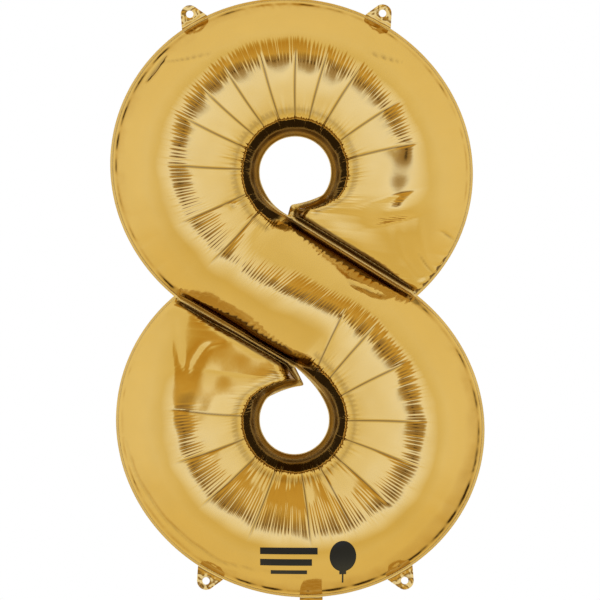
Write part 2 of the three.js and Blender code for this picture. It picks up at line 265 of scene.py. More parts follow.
def half_pairs(loop):
    """Facing lengths along both seams, from the tube's pointed end to the middle of the diagonal."""
    inner = resampled(inner_seam(loop), SEAM_STEP)
    outer = free_edge(loop, SEAL_BAND, EDGE_POINTS)
    inner_at, outer_at = lengths_along(inner), lengths_along(outer)

    def on_rim(heading):
        return nearest_length(inner, inner_at, place(loop, polar(loop.hole_radius + RIM_BAND, heading)))

    pairs = [(0, 0)] + WEDGE
    for near, far in FACING:
        ray = place(loop, polar(np.linspace(*RAY), far))
        hit = ray[np.argmin(np.abs(ellipse_side(loop, ray, SEAL_BAND)))]
        pairs.append((on_rim(near), nearest_length(outer, outer_at, hit)))
    own, far_weld = branch(loop), branch(other_loop(loop))
    cusp, notch = inner_at[-1] - own.length + TIP_BACK, outer_at[-1]
    pairs += [(on_rim(LAST_FACING), notch), (cusp, notch + 0.3 * far_weld.length),
              (cusp + (own.length - TIP_BACK) / 2, notch + (far_weld.length - TIP_BACK) / 2)]
    return np.array(pairs)


def seams():
    """The left and the right seam of the whole stroke, and the pairs of facing lengths on them."""
    upper_out, lower_out = (free_edge(loop, SEAL_BAND, EDGE_POINTS) for loop in LOOPS)
    left = np.concatenate([inner_seam(UPPER), lower_out[::-1]])
    right = np.concatenate([upper_out, inner_seam(LOWER)[::-1]])
    ends = np.array([lengths_along(left)[-1], lengths_along(right)[-1]])
    first, rest = half_pairs(UPPER), ends - half_pairs(LOWER)[::-1][:, ::-1]
    pairs = np.concatenate([first[:-1], [(first[-1] + rest[0]) / 2], rest[1:]])
    return left, right, pairs


FINE_STEPS = 4000
PAIR_BLUR = 14.0  # how far along the tube the pairs are evened out
PLEAT_SPREAD = 0.18


def rib_ends(rng):
    """The ends of every rib. Ribs stand in fours inside each pleat, and pleats differ in width."""
    left, right, pairs = seams()
    knots = running(np.abs(np.diff(pairs, axis=0)).mean(axis=1))
    fine = np.linspace(0, knots[-1], FINE_STEPS)
    at = smoothed(picked(fine, knots, pairs), FINE_STEPS * PAIR_BLUR / knots[-1])
    ends = []
    for k, seam in enumerate((left, right)):
        path = resampled(seam, SEAM_STEP, SEAM_ROUND)
        ends.append(picked(at[:, k], np.linspace(0, lengths_along(seam)[-1], len(path)), path))
    middle = lengths_along((ends[0] + ends[1]) / 2)
    wide = np.linalg.norm(ends[0] - ends[1], axis=1) > MIN_RIB
    low, high = middle[wide][0], middle[wide][-1]
    count = int((high - low) / PLEAT)
    widths = rng.uniform(1 - PLEAT_SPREAD, 1 + PLEAT_SPREAD, count)
    edges = low + (high - low) * running(widths) / widths.sum()
    spots = np.arange(count * PLEAT_COLUMNS + 1) / PLEAT_COLUMNS
    station = np.interp(spots, np.arange(count + 1), edges)
    return picked(station, middle, ends[0]), picked(station, middle, ends[1]), station - low


def share_rows():
    """Shares of the way across the tube, closer together at both seams."""
    fine = np.linspace(0, 1, 2001)
    seam = np.minimum(fine, 1 - fine)
    density = 1 + CROWDING * np.exp(-(seam / CROWDED) ** 2)
    total = running((density[1:] + density[:-1]) / 2)
    return np.interp(np.linspace(0, total[-1], ROWS), total, fine)


# --- the height of the inflated film ---

def membrane(points, conductivity):
    """Solves div(c grad f) = -1 over a grid of points, with f = 0 along all its edges."""
    columns, rows = points.shape[:2]
    weights = {key: np.zeros((columns, rows)) for key in ((0, 0), (0, 1), (1, 0), (1, 1), (1, -1))}
    load = np.zeros((columns, rows))
    cell = conductivity[:-1, :-1]
    halves = [((0, 0), (1, 0), (1, 1)), ((0, 0), (1, 1), (0, 1)), ((0, 0), (1, 0), (0, 1)),
              ((1, 0), (1, 1), (0, 1))]

    def part(array, corner):
        return array[corner[0]:columns - 1 + corner[0], corner[1]:rows - 1 + corner[1]]

    for triangle in halves:
        p = [part(points, corner) for corner in triangle]
        edges = [p[2] - p[1], p[0] - p[2], p[1] - p[0]]
        area = 0.5 * np.abs(edges[0][..., 0] * edges[1][..., 1] - edges[0][..., 1] * edges[1][..., 0])
        for a, corner in enumerate(triangle):
            part(load, corner)[...] += area / 6
            for b, far in enumerate(triangle):
                key = (far[0] - corner[0], far[1] - corner[1])
                if key in weights:
                    stiffness = cell * (edges[a] * edges[b]).sum(-1) / (8 * area)
                    part(weights[key], corner)[...] += stiffness

    def banded(centre, above, below):
        return np.diag(centre) + np.diag(above, 1) + np.diag(below, -1)

    def own(i):
        return banded(weights[0, 0][i, 1:-1], weights[0, 1][i, 1:-2], weights[0, 1][i, 1:-2])

    def link(i):
        return banded(weights[1, 0][i, 1:-1], weights[1, 1][i, 1:-2], weights[1, -1][i, 2:-1])

    inverses, rights = [], []
    for i in range(1, columns - 1):
        block, right = own(i), load[i, 1:-1].copy()
        if inverses:
            back = link(i - 1).T @ inverses[-1]
            block -= back @ link(i - 1)
            right -= back @ rights[-1]
        inverses.append(np.linalg.inv(block))
        rights.append(right)
    field = np.zeros((columns, rows))
    for i in range(columns - 2, 0, -1):
        right = rights[i - 1] - link(i) @ field[i + 1, 1:-1]
        field[i, 1:-1] = inverses[i - 1] @ right
    return field


def step_up(x, low, high):
    """0 below low and 1 above high, with a smooth rise between."""
    t = np.clip((x - low) / (high - low), 0, 1)
    return t * t * (3 - 2 * t)


def step_down(x, low, high):
    return 1 - step_up(x, low, high)


def window(x, low, full, less, high):
    """1 from full to less, and 0 below low and above high."""
    return step_up(x, low, full) * step_down(x, less, high)


INNER_POWER = 0.92
OUTER_POWER = 1.12  # domed: the film comes down to the outer edge at about 50 degrees
CONDUCTIVITY = 170.0  # over the distance from a hole's centre, so that the crest lies farther out
FULLEST = 1.3  # the fullness levels off towards this
CLOSED_END = 14.0  # the length over which the tube closes at each end
ON_WELD = (6, 12)  # between these distances from a branch weld a seam point stops being part of it
ON_HOLE = (75, 95)  # and between these from a hole's centre, part of the hole
# Walls: the part of the height that the film gains in each, how far it reaches, and its curve (1 is none).
HOLE_WALL = (0.54, 20.0, 1.06)
WEDGE_WALL = (0.44, 13.0, 1.04)
DIAGONAL_WALL = (0.10, 10.0, 1.0)


def seam_kinds(seam):
    """How much each point of a seam is at a branch weld, at a hole or on the outer edge."""
    from_welds = []
    for loop in LOOPS:
        weld = branch(loop)
        along = np.clip((seam - weld.start) @ weld.along, 0, weld.length)
        from_welds.append(np.linalg.norm(seam - (weld.start + along[:, None] * weld.along), axis=1))
    from_holes = [np.linalg.norm(seam - loop.hole, axis=1) for loop in LOOPS]
    at_weld = step_down(np.minimum(*from_welds), *ON_WELD)
    at_hole = step_down(np.minimum(*from_holes), *ON_HOLE) * (1 - at_weld)
    return SimpleNamespace(weld=at_weld, hole=at_hole, outer=1 - at_weld - at_hole)


def make_sheet(rng):
    """The grid of the tube in the weld plane, with its height and the measures that the details use."""
    left, right, station = rib_ends(rng)
    share = share_rows()
    plane = left[:, None] + (right - left)[:, None] * share[None, :, None]
    width = np.linalg.norm(right - left, axis=1)
    radius = np.minimum(*[np.linalg.norm(plane - loop.hole, axis=-1) for loop in LOOPS])
    field = membrane(plane, CONDUCTIVITY / radius)
    fullness = field / (FULL_HALF_WIDTH ** 2 / 2)
    fullness = fullness / (1 + (fullness / FULLEST) ** 6) ** (1 / 6)
    kinds = [seam_kinds(left), seam_kinds(right)]
    powers = [smoothed(OUTER_POWER + (INNER_POWER - OUTER_POWER) * (1 - kind.outer), 20) for kind in kinds]
    across = step_up(share, 0.15, 0.85)[None]
    power = powers[0][:, None] * (1 - across) + powers[1][:, None] * across
    from_left = share[None] * width[:, None]
    from_right = width[:, None] - from_left
    closed = window(station, 0, CLOSED_END, station[-1] - CLOSED_END, station[-1])
    crown = np.sqrt(np.maximum(smoothed(np.clip(fullness.max(axis=1), 0, 1), 10), 0)) * closed
    along = station / station[-1]
    wall = np.zeros_like(fullness)
    kept = np.ones_like(fullness)
    for kind, distance, side, wedge in (
            (kinds[0], from_left, 1 - across, step_down(along, 0.2, 0.3)),
            (kinds[1], from_right, across, step_up(along, 0.7, 0.8))):
        for amount, (gain, reach, curve) in ((kind.hole, HOLE_WALL), (kind.weld * wedge, WEDGE_WALL),
                                             (kind.weld * (1 - wedge), DIAGONAL_WALL)):
            amount = gain * side * smoothed(amount, 12)[:, None]
            wall += amount * crown[:, None] * (1 - np.maximum(1 - distance / reach, 0) ** curve)
            kept -= amount
    height = TUBE_DEPTH * (kept * np.maximum(fullness, 0) ** power + wall)
    return SimpleNamespace(
        left=left, right=right, station=station, along=along, share=share, plane=plane, width=width,
        height=height, closed=closed, upper_half=step_down(along, 0.49, 0.51)[:, None],
        seams=((lengths_along(left), kinds[0], from_left), (lengths_along(right), kinds[1], from_right)))


# --- pleats, creases and folds, as heights in millimetres above the smooth film, and their painted shade ---

def ripples(plane, rng, count, shortest, longest, size):
    """Smooth random waves over the weld plane."""
    total = np.zeros(plane.shape[:-1])
    for _ in range(count):
        wavelength = shortest * (longest / shortest) ** rng.random()
        heading, phase = rng.random(2) * 2 * math.pi
        towards = np.array([math.cos(heading), math.sin(heading)]) * 2 * math.pi / wavelength
        total += (wavelength / longest) ** 0.7 * np.sin(plane @ towards + phase)
    return size * total / math.sqrt(count)


def uneven_pleats(at, pitch, spread, rng):
    """Pleats of uneven width along a seam: each column's pleat, its place in it, and their number."""
    widths = rng.uniform(1 - spread, 1 + spread, int(at[-1] / pitch) + 2) * pitch
    edges = np.cumsum(widths) - widths[0]
    index = np.clip(np.searchsorted(edges, at, side="right") - 1, 0, len(edges) - 2)
    phase = (at - edges[index]) / (edges[index + 1] - edges[index])
    return index, np.clip(phase, 0, 1), len(edges)


def seam_pleats(at, distance, amount, shape, rng):
    """Pleats that run in from a seam. at is each column's length along the seam, distance each point's
    distance from it, and amount where on the seam they are. They are full from onset on."""
    pitch, spread, depth, onset, reach = shape
    index, phase, count = uneven_pleats(at, pitch, spread, rng)
    deep = rng.uniform(0.5, 1.4, count)[index]
    far = (reach * rng.uniform(0.6, 1.3, count))[index]
    rise = (np.sin(math.pi * phase) * deep * amount)[:, None]
    envelope = (1 - np.exp(-(distance / onset) ** 4)) * np.exp(-(distance / far[:, None]) ** 2.5)
    return depth * rise * envelope


# Radial creases: their directions from the hole's centre, in degrees.
UPPER_CREASES = (13, 34, 58, 75, 90, 107, 125, 139, 155, 178, 205, 228)
LOWER_CREASES = (-41, -20, 0, 28, 50, 66, 175, 200, 223, 249, 278, 299)
END_GORE = 25  # the last gores, beyond the first and the last crease, in degrees
GORE_SWELL = 0.026  # for each millimetre of a gore's width, up to the widest
WIDEST_GORE = 70
GROOVE_DEPTH, GROOVE_HALF = 0.8, 1.3
SWELL_END, GROOVE_END = (150, 205), (165, 185)  # distances from the hole's centre
CREST_TILT = math.radians(5)
CREST_PULL = 0.02  # towards the middle of the tube
CREST_BLUR = 25
CREST_LIMITS = (0.15, 0.85)
CREST_RANGE = (0.112, 0.128, 0.895, 0.912)  # where the comb starts and ends along the tube
COMB_WANDER, COMB_JITTER = 3.5, 1.8  # how far the comb's middle strays
COMB_HALF = (11, 19)  # half lengths of its pleats
COMB_DEPTH = (0.2, 0.55)
COMB_SHIFT, COMB_LONGER = 13, 5  # more where the way across the tube is upright
WIDE_PLEAT, WIDE_SPREAD, WIDE_DEPTH, WIDE_HALF = 17.0, 0.6, 0.5, 24.0  # wide swells under the comb


def crease_sets(sheet):
    """Each loop with its creases and the part of the tube that they are on."""
    return (UPPER, UPPER_CREASES, sheet.upper_half), (LOWER, LOWER_CREASES, 1 - sheet.upper_half)


def crease_sway(radius):
    """How far the creases sway from straight, in degrees."""
    return 0.3 * np.sin(radius / 23)


def creases(plane, loop, angles, here):
    """Gores that swell between radial creases, from the hole out to the crest."""
    radius, heading = round_hole(plane, loop)
    marks = np.array([angles[0] - END_GORE, *angles, angles[-1] + END_GORE], dtype=float)
    heading = (heading - marks[0]) % 360 + marks[0] + crease_sway(radius)
    index = np.clip(np.searchsorted(marks, heading, side="right") - 1, 0, len(marks) - 2)
    span = marks[index + 1] - marks[index]
    within = (heading - marks[index]) / span
    swell = GORE_SWELL * np.minimum(np.radians(span) * radius, WIDEST_GORE)
    bulge = swell * (1 - (2 * within - 1) ** 2)
    nearest = np.min(np.abs(heading[..., None] - np.array(angles)), axis=-1)
    groove = -GROOVE_DEPTH * np.exp(-(np.radians(nearest) * radius / GROOVE_HALF) ** 2)
    rim = loop.hole_radius + RIM_BAND
    ends = window(heading, *marks[:2], *marks[-2:])
    shape = step_down(radius, *SWELL_END) * bulge + step_down(radius, *GROOVE_END) * groove
    return here * ends * step_up(radius, rim, rim + 22) * shape


def crest_pleats(sheet, crest, strength, rng):
    """The comb of fine pleats across the crest, all of them different in length, place and depth."""
    columns = np.arange(len(sheet.station))
    index = columns // PLEAT_COLUMNS
    phase = columns % PLEAT_COLUMNS / PLEAT_COLUMNS
    count = index[-1] + 1
    upwards = (sheet.right - sheet.left)[:, 1] / sheet.width
    wander = smoothed(rng.normal(0, 1, count + 1), 3) * COMB_WANDER
    centre = (wander[:count] + rng.uniform(-COMB_JITTER, COMB_JITTER, count))[index] + COMB_SHIFT * upwards
    half = rng.uniform(*COMB_HALF, count) + 2.5 * smoothed(rng.normal(0, 1, count), 4)
    half = half[index] + COMB_LONGER * np.abs(upwards)
    deep = rng.uniform(*COMB_DEPTH, count)[index]
    offset = (sheet.share[None] - crest[:, None]) * sheet.width[:, None] - centre[:, None]
    outwards = np.abs(offset / half[:, None])
    envelope = (0.75 + 0.25 * np.minimum(outwards, 1) ** 2) * np.exp(-np.maximum(outwards - 0.85, 0) ** 2 * 9)
    comb = np.abs(np.sin(math.pi * phase))[:, None] * deep[:, None]
    wide, within, wide_count = uneven_pleats(sheet.station, WIDE_PLEAT, WIDE_SPREAD, rng)
    swell = (np.sin(math.pi * within) * rng.uniform(0.0, WIDE_DEPTH, wide_count)[wide])[:, None]
    swell = swell * np.exp(-np.abs(offset / WIDE_HALF) ** 3)
    return strength[:, None] * (envelope * comb + swell)


def normals_of(points):
    """Unit normals of a grid of points."""
    du, dv = np.gradient(points, axis=0), np.gradient(points, axis=1)
    normal = np.cross(du, dv)
    return normal / np.maximum(np.linalg.norm(normal, axis=-1, keepdims=True), 1e-12)


def crest_of(sheet, side, points):
    """The share at which each rib faces a little upwards and forwards, evened out along the stroke."""
    normal = normals_of(points) * side
    facing = normal @ np.array([0, side * math.cos(CREST_TILT), math.sin(CREST_TILT)])
    facing = np.abs(facing) - CREST_PULL * np.abs(sheet.share - 0.5)[None]
    best = sheet.share[np.argmax(facing[:, 4:-4], axis=1) + 4]
    return np.clip(smoothed(best, CREST_BLUR), *CREST_LIMITS)


# Single folds: points along them (x, z), width, and height, which is below 0 for a groove.
FOLDS = [
    ([(-190, -69), (-158, -66), (-121, -59)], 3.0, -1.8),
    ([(-216, -96), (-203, -78), (-188, -60)], 1.7, -4.0),
    ([(103, -57), (135, -67), (151, -70)], 3.0, -2.2),
    ([(74, -385), (104, -398), (127, -407)], 2.4, -2.0),
    ([(-176, -440), (-170, -485), (-160, -535)], 5.0, -2.0),
    ([(-98, -470), (-128, -476), (-144, -500), (-154, -530)], 5.0, -2.0),
    ([(-246, -614), (-234, -655), (-217, -688), (-188, -728), (-149, -762), (-109, -788), (5, -808)],
     2.6, -1.3),
    ([(140, -270), (141, -310), (152, -350), (182, -386)], 5.0, -1.8),
    ([(172, -290), (176, -325), (190, -365)], 6.0, 1.8),
    ([(132, -262), (142, -300)], 32.0, 11.5),
    ([(-101, -271), (-86, -281)], 2.0, -1.8),
    ([(208, -312), (226, -324)], 2.4, -1.8),
    ([(176, -345), (187, -362), (197, -372)], 2.6, -1.6),
]


def folds(plane, strokes):
    """Single folds, each along a smooth path."""
    total = np.zeros(plane.shape[:-1])
    for path, width, height in strokes:
        path = resampled(np.array(path, dtype=float), 2.0, 6.0)
        low, high = path.min(0) - 4 * width, path.max(0) + 4 * width
        near = np.all((plane > low) & (plane < high), axis=-1)
        gaps = np.linalg.norm(plane[near][:, None] - path[None], axis=-1)
        nearest = np.argmin(gaps, axis=1)
        along = nearest / (len(path) - 1)
        fade = np.sin(math.pi * np.clip(along, 0.04, 0.96)) ** 0.6
        total[near] += height * fade * np.exp(-(gaps.min(axis=1) / width) ** 2)
    return total


# Ripples: the number of waves, the shortest and the longest, and their height.
FLUTTER = (24, 14, 70, 0.35)
FLUTTER_SEED = 21
FILM_RIPPLES = (40, 28, 110, 0.45)


def flutter(plane):
    """How far the flat margins, and the films welded to them, wave out of the weld plane."""
    total = ripples(plane, np.random.default_rng(FLUTTER_SEED), *FLUTTER)
    for loop in LOOPS:
        radius, heading = round_hole(plane, loop)
        heading = np.radians(heading)
        near = step_down(radius, loop.hole_radius - 1, loop.hole_radius + RIM_BAND)
        total += near * (RIM_CUP + RIM_WAVE * np.sin(9 * heading + 2 * np.sin(2 * heading)))
        weld, along, beside = by_weld(plane, loop)
        close = np.exp(-(beside / 6) ** 2) * window(along, 0, 12, weld.length - 12, weld.length)
        total += WELD_ROLL * beside * close
    edge = np.minimum(*[ellipse_side(loop, plane) * sum(loop.radii) / 2 for loop in LOOPS])
    return total + EDGE_ROLL * np.clip(edge + SEAL_BAND, 0, SEAL_BAND)


# Painted shade: darkening painted into the film's colour for the light that is lost in folds too narrow for the
# mesh, from 0 to 1.
CREASE_SHADE, CREASE_HALF = 0.8, 1.1
VALLEY_SHADE = 0.85
RING_SHADE, RING = 0.7, (0, 1.5, 16, 19)
ECHO_SHADE, ECHO = 0.3, (25, 28, 29, 32)  # the faint second ring of painted shade
ECHO_PITCH, ECHO_TEETH = 4.4, 5
# painted shade in lens shapes by the right notch: strength, reach from the seam in mm, and pitch along it
SCALLOP_SHADE, SCALLOP_DEPTH, SCALLOP_PITCH = 0.85, 5, 15
SHARP = 3.0  # grooves up to this width get a painted shade line
FOLD_LINE = 1.5  # how wide their painted shade is
FOLD_SHADE = 0.22  # and how much there is for each millimetre of depth


def crease_shade(plane, loop, angles, here):
    """Painted shade: 1 on a loop's radial creases, falling off within a millimetre or two."""
    radius, heading = round_hole(plane, loop)
    off = heading[..., None] + crease_sway(radius)[..., None] - np.array(angles)
    nearest = np.min(np.abs((off + 180) % 360 - 180), axis=-1)
    line = np.exp(-(np.radians(nearest) * radius / CREASE_HALF) ** 2)
    rim = loop.hole_radius + RIM_BAND
    return here * line * window(radius, rim + 12, rim + 24, 150, 185)


def valley_shade(plane, loop):
    """Painted shade: 1 deep in the valley along a branch weld, narrower towards the notch."""
    weld, along, beside = by_weld(plane, loop)
    taper = step_up(along, 0.6 * weld.length, weld.length)
    reach = np.where(beside > 0, 9 - 5 * taper, 12 - 0.35 * along)
    away = np.abs(beside) - BRANCH_BAND / 2
    return step_down(away, reach - 1, reach + 1) * window(along, -4, 4, weld.length - 14, weld.length - 2)


def ring_shade(at, kind, distance):
    """Painted shade: a dark ring in the film beside a hole's weld, and a faint toothed one outside it."""
    ring = window(distance, *RING)
    teeth = ECHO_TEETH * np.abs(np.sin(math.pi * at / ECHO_PITCH))[:, None]
    echo = window(distance, *ECHO[:2], ECHO[2] + 0.5 * teeth, ECHO[3] + teeth)
    return (RING_SHADE * ring + ECHO_SHADE * echo) * kind.hole[:, None]


def scallop_shade(at, distance):
    """Painted shade in small lens shapes along the right seam, by the right notch."""
    at = at[:, None]
    lens = SCALLOP_DEPTH * np.sin(math.pi * at / SCALLOP_PITCH) ** 2 * step_down(at, 55, 90)
    return step_down(distance, lens - 1, lens + 0.5)


def fold_shade(sheet, side):
    """How much light is lost where the film is pinched, painted into the film's colour as shade. The back has
    no rings and no single folds.
    """
    right_at, _, from_right = sheet.seams[1]
    shades = [CREASE_SHADE * sum(crease_shade(sheet.plane, *row) for row in crease_sets(sheet)),
              SCALLOP_SHADE * scallop_shade(right_at, from_right)]
    shades += [VALLEY_SHADE * valley_shade(sheet.plane, loop) for loop in LOOPS]
    if side == FRONT:
        shades += [ring_shade(*seam) for seam in sheet.seams]
        shades.append(folds(sheet.plane, [(path, FOLD_LINE, -FOLD_SHADE * height)
                                          for path, width, height in FOLDS if height < 0 and width <= SHARP]))
    return np.clip(np.max(shades, axis=0), 0, 1)


# Pleats from the seams: where, pitch, spread of the widths, depth, where they are full, and reach.
SEAM_PLEATS = [
    ("hole", (4.2, 0.35, 2.4, 18, 28)),
    ("hole", (17.0, 0.4, 1.2, 15, 36)),
    ("weld", (8.0, 0.4, 0.5, 9, 20)),
    ("outer", (42.0, 0.5, 0.8, 6, 30)),
    ("outer", (12.0, 0.5, 0.3, 6, 12)),
]
NOTCH_PLEATS = (19.0, 0.3, 2.6, 3, 8)


def film_detail(sheet, side, points, rng):
    """All that stands off the smooth film."""
    strength = window(sheet.along, *CREST_RANGE)
    total = crest_pleats(sheet, crest_of(sheet, side, points), strength, rng)
    for row in crease_sets(sheet):
        total += creases(sheet.plane, *row)
    for at, kind, distance in sheet.seams:
        for where, shape in SEAM_PLEATS:
            total += seam_pleats(at, distance, getattr(kind, where), shape, rng)
    right_at, _, from_right = sheet.seams[1]
    total += seam_pleats(right_at, from_right, step_down(right_at, 60, 90), NOTCH_PLEATS, rng)
    edge = np.minimum(*[distance for _, _, distance in sheet.seams])
    total += ripples(sheet.plane, rng, *FILM_RIPPLES) * step_up(edge, 0, 20)
    if side == FRONT:
        total += folds(sheet.plane, FOLDS) * step_up(edge, 0, 4)
    return total * step_up(edge, 0, 3) * sheet.closed[:, None]


# --- meshes ---

def in_space(plane, y):
    return np.concatenate([plane[..., :1], y[..., None], plane[..., 1:]], axis=-1)


def over_welds(plane):
    """How far the films lean over the branch welds."""
    total = np.zeros_like(plane)
    for loop in LOOPS:
        weld, along, beside = by_weld(plane, loop)
        away = np.abs(beside) - BRANCH_BAND / 2
        lean = WELD_LEAN * step_up(away, 0, 5) * np.exp(-np.maximum(away - 5, 0) ** 2 / 90)
        lean = lean * window(along, 4, 24, weld.length - 40, weld.length - 8)
        total -= (np.sign(beside) * lean)[..., None] * weld.beakward
    return total


FADE_HEIGHT = 5.0  # the height over which the film leaves the margin's waves


def film_points(sheet, side, rng):
    """The film's points, on the front or the back."""
    base = in_space(sheet.plane, side * sheet.height)
    normal = normals_of(base)
    normal *= np.sign(normal[..., 1:2]) * side
    points = base + normal * film_detail(sheet, side, base, rng)[..., None]
    points[..., 1] += side * MARGIN_THICKNESS / 2 + flutter(sheet.plane) * np.exp(-sheet.height / FADE_HEIGHT)
    points[..., ::2] += over_welds(sheet.plane)
    return points


def grid_faces(columns, rows, wraps=False):
    """Quads over a grid of points. Where it wraps, its last column meets its first."""
    i = np.arange(columns if wraps else columns - 1)[:, None]
    j = np.arange(rows - 1)[None]
    a, b = i * rows + j, (i + 1) % columns * rows + j
    return np.stack([a, b, b + 1, a + 1], axis=-1).reshape(-1, 4)


def plate(near, far, faces):
    """A closed thin plate: faces over the near points, the same over the far ones, and walls between."""
    faces, count = faces.tolist(), len(near)
    edges = [(face[k - 1], face[k]) for face in faces for k in range(len(face))]
    known = set(edges)
    walls = [[a, a + count, b + count, b] for a, b in edges if (b, a) not in known]
    backs = [[k + count for k in reversed(face)] for face in faces]
    return np.concatenate([near, far]), faces + backs + walls


def new_object(name, data):
    made = bpy.data.objects.new(name, data)
    bpy.context.scene.collection.objects.link(made)
    return made


def mesh_object(name, points, faces, material):
    """A smooth-shaded mesh in metres, of points in millimetres."""
    mesh = bpy.data.meshes.new(name)
    mesh.from_pydata((points.reshape(-1, 3) * MM).tolist(), [], faces)
    mesh.polygons.foreach_set("use_smooth", [True] * len(mesh.polygons))
    mesh.materials.append(material)
    return new_object(name, mesh)


# --- flat margins ---

EDGE_STEP, HOLE_STEP, ROW_STEP = 2.5, 1.5, 1.8
EDGE_ROWS = (1.3, 2.6)  # rows of points, from the outer edge inwards
HOLE_ROWS = (2.0, 4.0, 6.0)  # and from a hole's edge outwards


def inside(points, loop):
    """Which points are inside a closed loop."""
    x, z = points[:, 0][:, None], points[:, 1][:, None]
    x0, z0 = loop[:, 0][None], loop[:, 1][None]
    x1, z1 = np.roll(x0, -1, axis=1), np.roll(z0, -1, axis=1)
    spans = (z0 > z) != (z1 > z)
    with np.errstate(divide="ignore", invalid="ignore"):
        hits = spans & (x < x0 + (z - z0) * (x1 - x0) / (z1 - z0))
    return hits.sum(axis=1) % 2 == 1


def body_outline(inset, step):
    """The closed outline of the figure 8, drawn in by inset."""
    return np.concatenate([resampled(free_edge(loop, inset, 900), step)[:-1] for loop in LOOPS])


def hole_outline(loop, grow, step):
    cusp = branch(loop).start
    local = (cusp - loop.hole) * loop.turn
    around = np.concatenate([cusp[None], hole_edge(loop, grow, loop.beak, local)])
    return resampled(around, step, 3.0)[:-1]


def flat_margin(outer, holes, inner_rows):
    """A thin plate between outlines, with more points on rows inside it."""
    def kept(points):
        return inside(points, outer) & ~np.any([inside(points, hole) for hole in holes], axis=0)

    loops = [outer] + holes
    extra = np.concatenate(inner_rows)
    flat = np.concatenate(loops + [extra[kept(extra)]])
    starts = np.cumsum([0] + [len(loop) for loop in loops])
    rims = [np.arange(start, end) for start, end in zip(starts[:-1], starts[1:])]
    edges = [(int(a), int(b)) for rim in rims for a, b in zip(rim, np.roll(rim, -1))]
    verts, _, faces, *_ = geometry.delaunay_2d_cdt([Vector(p) for p in flat], edges, [], 0, 1e-5)
    flat = np.array([tuple(v) for v in verts])
    faces = np.array(faces)
    faces = faces[kept(flat[faces].mean(axis=1))]
    ab, ac = (flat[faces[:, k]] - flat[faces[:, 0]] for k in (1, 2))
    ccw = ab[:, 0] * ac[:, 1] > ab[:, 1] * ac[:, 0]
    faces = np.where(ccw[:, None], faces, faces[:, ::-1])
    y, half = flutter(flat), MARGIN_THICKNESS / 2
    return plate(in_space(flat, y - half), in_space(flat, y + half), faces)


def add_margin(sheet, material):
    film = np.concatenate([sheet.left[::2], sheet.right[::2][::-1]])
    outer = body_outline(0, EDGE_STEP)
    holes = [hole_outline(loop, 0, HOLE_STEP) for loop in LOOPS]
    rows = [body_outline(inset, EDGE_STEP) for inset in EDGE_ROWS]
    rows += [hole_outline(loop, grow, ROW_STEP) for loop in LOOPS for grow in HOLE_ROWS]
    points, faces = flat_margin(outer, holes + [film], rows)
    margin = mesh_object("welded_margin", points, faces, material)
    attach(margin, "balloon_body")
    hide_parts("perimeter_seal", "upper_rim_seal", "lower_rim_seal", "upper_branch_seal",
                "lower_branch_seal")


# --- hanging tabs and tail: thin crinkled films ---

TAB_ROOT = 41.0
TAB_END = 13.0  # radius of the round end about the eyelet
TAB_LAP = 2.5  # how far a tab's films go back over the margin
TAB_RIPPLES = (10, 5, 14, 0.3)
EYELET = 5.3
FILM = 0.25
FREE_TAB, FREE_TAIL = 6, 8  # how far from its fold a film has left the margin's waves
TAB_CRINKLE, TAIL_CRINKLE = 0.55, 0.6
TAB_COLUMNS = 120
TAB_ROWS = 12


def layer(name, plane, inner, outer, material, wraps=False):
    """A closed thin film over a grid of the weld plane, between two heights in y, with crisp edges."""
    near, far = (in_space(plane, y).reshape(-1, 3) for y in (inner, outer))
    piece = mesh_object(name, *plate(near, far, grid_faces(*plane.shape[:2], wraps)), material)
    mesh = bmesh.new()
    mesh.from_mesh(piece.data)
    bmesh.ops.recalc_face_normals(mesh, faces=mesh.faces)
    for edge in mesh.edges:
        edge.smooth = edge.calc_face_angle(0) < math.radians(50)
    mesh.to_mesh(piece.data)
    mesh.free()
    return piece


def bent_film(film, body, start, end, replaced, slot):
    """Bakes a film's place into its mesh and hides the part that it stands for."""
    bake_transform(film)
    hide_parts(replaced)


def joint_frame(joint):
    """A fold's place in the weld plane, with the way along it and the way out from the body."""
    at = np.array(joint["pos_m"])[[0, 2]] / MM
    along = np.array(joint["axis"])[[0, 2]]
    out = np.array([along[1], -along[0]])
    if out @ (at - (np.array(UPPER.centre) + LOWER.centre) / 2) < 0:
        along, out = -along, -out
    return SimpleNamespace(place=at, along=along, out=out)


def eyelet_out(fold):
    """How far out from a fold its eyelet's centre is."""
    centres = [np.array(opening["box_m"]).mean(axis=0)[[0, 2]] / MM
               for opening in frame["record"]["physics"]["openings"] if "eyelet" in opening["name"]]
    return min((float(np.linalg.norm(centre - fold.place)) for centre in centres))


def tab_grid(fold):
    """Rings round the eyelet, out to a straight root and a round end, in (along, out) coordinates."""
    reach = eyelet_out(fold)
    corner = np.array([TAB_ROOT / 2, 0.0])
    to_corner = math.hypot(corner[0], reach)
    lift = math.acos(TAB_END / to_corner) - math.atan2(reach, corner[0])
    arc = polar(TAB_END, np.degrees(np.linspace(lift, math.pi - lift, 40)))
    root = [(-corner[0], -reach), (-corner[0], -reach - TAB_LAP), (corner[0], -reach - TAB_LAP),
            (corner[0], -reach)]
    outline = resampled(np.concatenate([arc, root, arc[:1]]), 0.3)
    angles = np.unwrap(np.arctan2(outline[:, 1], outline[:, 0]))
    at = np.linspace(angles[0], angles[0] + 2 * math.pi, TAB_COLUMNS, endpoint=False)
    edge = np.interp(at, angles, np.hypot(outline[:, 0], outline[:, 1]))
    radius = EYELET + (edge - EYELET)[:, None] * np.linspace(0, 1, TAB_ROWS)[None]
    return np.stack([radius * np.cos(at)[:, None], radius * np.sin(at)[:, None] + reach], axis=-1)


def crinkle(local, rng, size):
    """Sharp creases at many angles, as in a film that has been folded up."""
    total = np.zeros(local.shape[:-1])
    for _ in range(7):
        heading = rng.random() * math.pi
        pitch = rng.uniform(9, 20)
        across = local @ np.array([math.cos(heading), math.sin(heading)]) / pitch + rng.random()
        total += pitch / 14 * (np.abs((across % 1) - 0.5) - 0.25)
    return size * total


